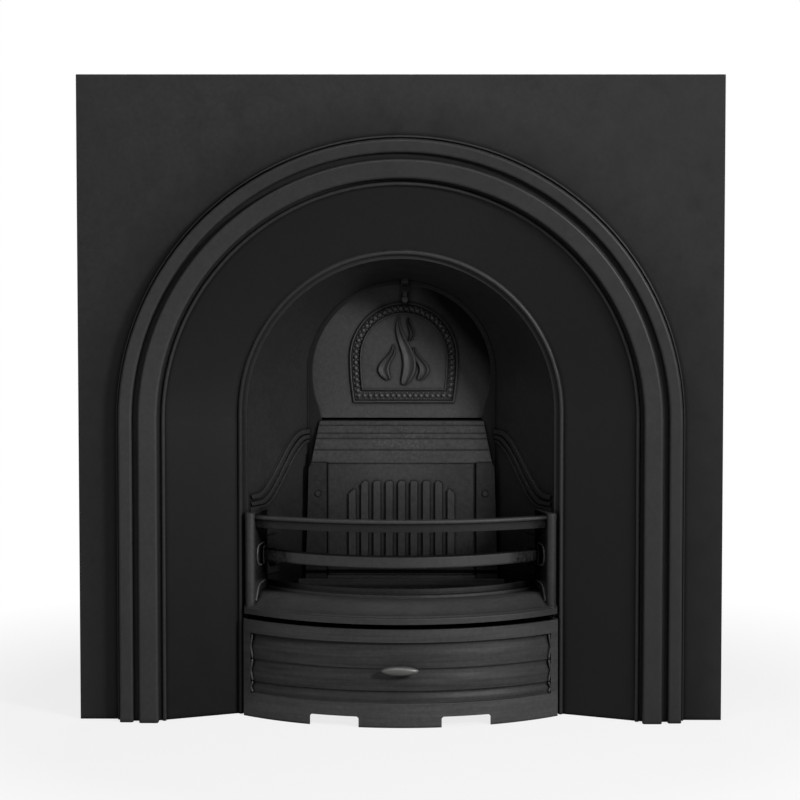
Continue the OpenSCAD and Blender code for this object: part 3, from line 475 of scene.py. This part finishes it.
def frame_path(inset, count=220):
    """The flap's frame drawn in by an inset, as evenly spaced points that start low on the right."""
    half, foot = FRAME_HALF - inset, FRAME_FOOT + inset * 1.2
    side = []
    for i in range(13):
        v = foot + (FRAME_MID - foot) * i / 12
        down = (FRAME_MID - v) / (FRAME_MID - FRAME_FOOT)
        side.append((half - FRAME_TAPER * down ** 2, v))
    top = [(half * math.cos(math.radians(a)), FRAME_MID + (FRAME_RISE - inset) * math.sin(math.radians(a)))
           for a in range(3, 178, 3)]
    outline = side + top + [(-x, v) for x, v in reversed(side)]
    outline.append(outline[0])
    steps = [math.dist(a, b) for a, b in zip(outline, outline[1:])]
    total = sum(steps)
    points, k, gone = [], 0, 0.0
    for i in range(count):
        want = total * i / count
        while gone + steps[k] < want:
            gone += steps[k]
            k += 1
        t = (want - gone) / steps[k]
        a, b = outline[k], outline[k + 1]
        points.append((a[0] + (b[0] - a[0]) * t, a[1] + (b[1] - a[1]) * t))
    return points, total


def dome(bm, x, v, r, height, d, rings=4, around=12):
    """A round bead that stands on the flap."""
    rows = []
    for i in range(rings):
        a = math.pi / 2 * i / rings
        rows.append([bm.verts.new(on_flap(x + r * math.cos(a) * math.cos(2 * math.pi * k / around),
                                          d - height * math.sin(a),
                                          v + r * math.cos(a) * math.sin(2 * math.pi * k / around)))
                     for k in range(around)])
    tip = bm.verts.new(on_flap(x, d - height, v))
    skin(bm, rows)
    for k in range(around):
        bm.faces.new((rows[-1][k], rows[-1][(k + 1) % around], tip))
    bm.faces.new(rows[0])


def skin(bm, rows):
    """Joins each row of a section to the next."""
    for p, q in zip(rows, rows[1:]):
        for k in range(len(p)):
            bm.faces.new((p[k], p[(k + 1) % len(p)], q[(k + 1) % len(p)], q[k]))


def ridge(bm, path, width, height, d):
    """A half-round ridge along a closed path on the flap."""
    rows = []
    for i, (x, v) in enumerate(path):
        a, b = path[i - 1], path[(i + 1) % len(path)]
        tx, tv = b[0] - a[0], b[1] - a[1]
        run = math.hypot(tx, tv)
        nx, nv = tv / run, -tx / run
        rows.append([bm.verts.new(on_flap(x + nx * width / 2 * math.cos(w), d - height * math.sin(w),
                                          v + nv * width / 2 * math.cos(w)))
                     for w in (math.pi * k / 6 for k in range(7))])
    skin(bm, rows + rows[:1])


bm = bmesh.new()
BEADS = round(frame_path(BEAD_INSET)[1] / BEAD_PITCH)
for bx, bv in frame_path(BEAD_INSET, BEADS)[0]:
    dome(bm, bx, bv, 3.3, 4.4, FLAP_D + SEAT)
for inset in (BEAD_INSET - 3.5, BEAD_INSET + 3.5):
    for bx, bv in frame_path(inset, 2 * BEADS)[0][1::2]:
        dome(bm, bx, bv, 1.3, 2.4, FLAP_D + SEAT, 3, 8)
piece("flap_beads", bm, bead_iron, "flap")

bm = bmesh.new()
ridge(bm, frame_path(1.5)[0], 3.2, 1.6, FLAP_D - 2.2)
ridge(bm, frame_path(4.4)[0], 1.8, 1.6, FLAP_D + 0.3)
ridge(bm, frame_path(17.3)[0], 3.0, 1.7, PANEL_D + SEAT)
piece("flap_ridges", bm, flap_iron, "flap")

# The flame: swaying tongues with a crowned body, as generic hearth ornament. Each tongue's place right
# of the middle, foot, height, width and sway.
TONGUES = [(0, 52, 108, 21, 9), (-24, 60, 56, 17, -8), (24, 60, 52, 15, 8), (10, 122, 36, 6, 3)]


def tongue(bm, x, foot, high, wide, sway, grow, height, d):
    rows = []
    n, across = 48, 18
    for i in range(n + 1):
        t = i / n
        cx = x + sway * math.sin(math.radians(300 * t))
        half = wide / 2 * max(0.0, math.sin(math.pi * t ** 0.55)) ** 0.9 + grow
        lift = height * min(1.0, half / (wide * 0.22))
        front = [(s, d - 0.6 - lift * math.sin(math.pi * abs(s) ** 2.2))
                 for s in (-1 + 2 * k / across for k in range(across + 1))]
        rows.append([bm.verts.new(on_flap(cx + half * s, deep, foot + high * t))
                     for s, deep in [(-1, d + 0.8)] + front + [(1, d + 0.8)]])
    skin(bm, rows)
    for end in (rows[0], rows[-1]):
        bm.faces.new(end)


bm = bmesh.new()
for t in TONGUES:
    tongue(bm, *t, 0.7, 2.6, PANEL_D - 1.0)
piece("flap_flame", bm, flap_iron, "flap")


# ---------------------------------------------------------------- beads on the cover and the fire front
def cord(bm, points, radius, around=8):
    """A round bead along an open path, with closed ends."""
    rows = []
    for i, point in enumerate(points):
        along = (points[min(i + 1, len(points) - 1)] - points[max(i - 1, 0)]).normalized()
        side = along.cross(Vector((0.31, 0.17, 0.93))).normalized()
        other = along.cross(side)
        r = radius * MM * (0.55 if i in (0, len(points) - 1) else 1.0)
        rows.append([bm.verts.new(point + r * (math.cos(a) * side + math.sin(a) * other))
                     for a in (2 * math.pi * k / around for k in range(around))])
    skin(bm, rows)
    bm.faces.new(rows[0])
    bm.faces.new(rows[-1])


def eased(points, steps=5):
    """Rounds a path off through its points."""
    out = []
    for i in range(len(points) - 1):
        a, b, c, d = (points[max(0, min(len(points) - 1, i + k))] for k in (-1, 0, 1, 2))
        for k in range(steps):
            t = k / steps
            out.append(0.5 * (2 * b + (c - a) * t + (2 * a - 5 * b + 4 * c - d) * t * t
                              + (3 * b - a - 3 * c + d) * t ** 3))
    return out + [points[-1]]


# Scalloped ends of the cover's sunk panel: one bow for each wave, from its foot to its top
COVER_R, COVER_AXIS, RECESS_HALF = 369.0, 309.0, 227.0
WAVES = ((37, 54.5), (54.5, 88.5), (88.5, 128))
RECESS_R = COVER_R - 2.2
bm = bmesh.new()
for side in (-1, 1):
    for foot, top in WAVES:
        path = []
        for k in range(13):
            t = k / 12
            x = RECESS_HALF - 0.3 - 2.6 * abs(math.cos(math.pi * t)) ** 1.5
            path.append(at(side * x, COVER_AXIS - math.sqrt(RECESS_R * RECESS_R - x * x),
                           foot + 0.5 + (top - foot - 1) * t))
        cord(bm, path, 1.7)
piece("cover_scallops", bm, cover_iron, "cover")


def on_wall(side, path):
    """Points on a side wall's inner face, from pairs of depth and height."""
    return [at(side * (220 - (depth - 33.5) * 17 / 61.5), depth, z) for depth, z in path]


# Beads on the fire front's walls, round the middle bar's ends and down from the sill's ends
LOOP = [(74, 258), (56, 258), (46, 255), (42, 247), (42, 237), (46, 229), (56, 226), (74, 226)]
FALL = [(84, 199), (64, 199), (50, 196), (43, 189), (39, 180), (34, 174)]
bm = bmesh.new()
for side in (-1, 1):
    cord(bm, eased(on_wall(side, LOOP)), 2.0)
    cord(bm, eased(on_wall(side, FALL)), 2.2)
piece("front_beads", bm, bar_iron, "front")


# ---------------------------------------------------------------- floor, world and lights
GLOSSY_SHARE = 0.12  # how much of the white background the iron's reflections show


def sees_white(m):
    """One for camera and transmitted rays, and a share for glossy ones."""
    ray = m.new("LightPath").outputs
    glossy = m.times(ray["Is Glossy Ray"], GLOSSY_SHARE)
    return m.math("MAXIMUM", ray["Is Camera Ray"], m.math("MAXIMUM", glossy, ray["Is Transmission Ray"]))


def blend(m, fac, a, b, out):
    """Ends a tree in a mix of two shaders."""
    both = m.new("MixShader")
    for socket, value in zip(both.inputs, (fac, a.outputs[0], b.outputs[0])):
        m.put(socket, value)
    m.put(out.inputs[0], both.outputs[0])


# The floor is white to the camera, apart from a share of its shadow near the middle
floor_look = Material("floor_white")
floor_look.fill(floor_look.bsdf, Base_Color=(0.5, 0.5, 0.5), Roughness=0.9, Specular_IOR_Level=0.1)
away = floor_look.new("VectorMath")
away.operation = "LENGTH"
floor_look.put(away.inputs[0], floor_look.pos)
white = floor_look.new("Emission")
white.inputs["Strength"].default_value = 1.0
amount = floor_look.times(sees_white(floor_look), floor_look.span(away.outputs["Value"], 0.6, 1.1, 0.8, 1.0))
blend(floor_look, amount, floor_look.bsdf, white, floor_look.out)
bpy.ops.mesh.primitive_plane_add(size=30, location=(0, 0, -0.0005))
floor = bpy.context.object
floor.name = "floor"
floor.data.materials.append(floor_look.mat)

world = bpy.data.worlds.new("world")
scene.world = world
world.use_nodes = True
sky = Nodes(world.node_tree)
grounds = []
for strength in (0.09, 1.0):
    ground = sky.new("Background")
    sky.fill(ground, Color=(1, 1, 1), Strength=strength)
    grounds.append(ground)
blend(sky, sees_white(sky), *grounds, sky.new("OutputWorld"))


def softbox(name, place, aim, size_x, size_y, power):
    data = bpy.data.lights.new(name, "AREA")
    data.shape = "RECTANGLE"
    data.size = size_x
    data.size_y = size_y
    data.energy = power
    lamp = bpy.data.objects.new(name, data)
    scene.collection.objects.link(lamp)
    lamp.location = place
    lamp.rotation_euler = (Vector(aim) - Vector(place)).to_track_quat("-Z", "Y").to_euler()


softbox("key", (2.05, -2.35, 1.6), (0, 0, 0.45), 0.6, 0.6, 118)
softbox("fill", (-2.2, -2.6, 1.2), (0, 0, 0.5), 1.6, 1.6, 14)
softbox("top", (-0.1, -1.4, 2.6), (0, -0.1, 0.8), 1.8, 0.6, 28)
softbox("behind", (0, 3.2, 1.8), (0, 0.1, 0.5), 1.6, 1.2, 32)

scene.view_settings.view_transform = "Standard"
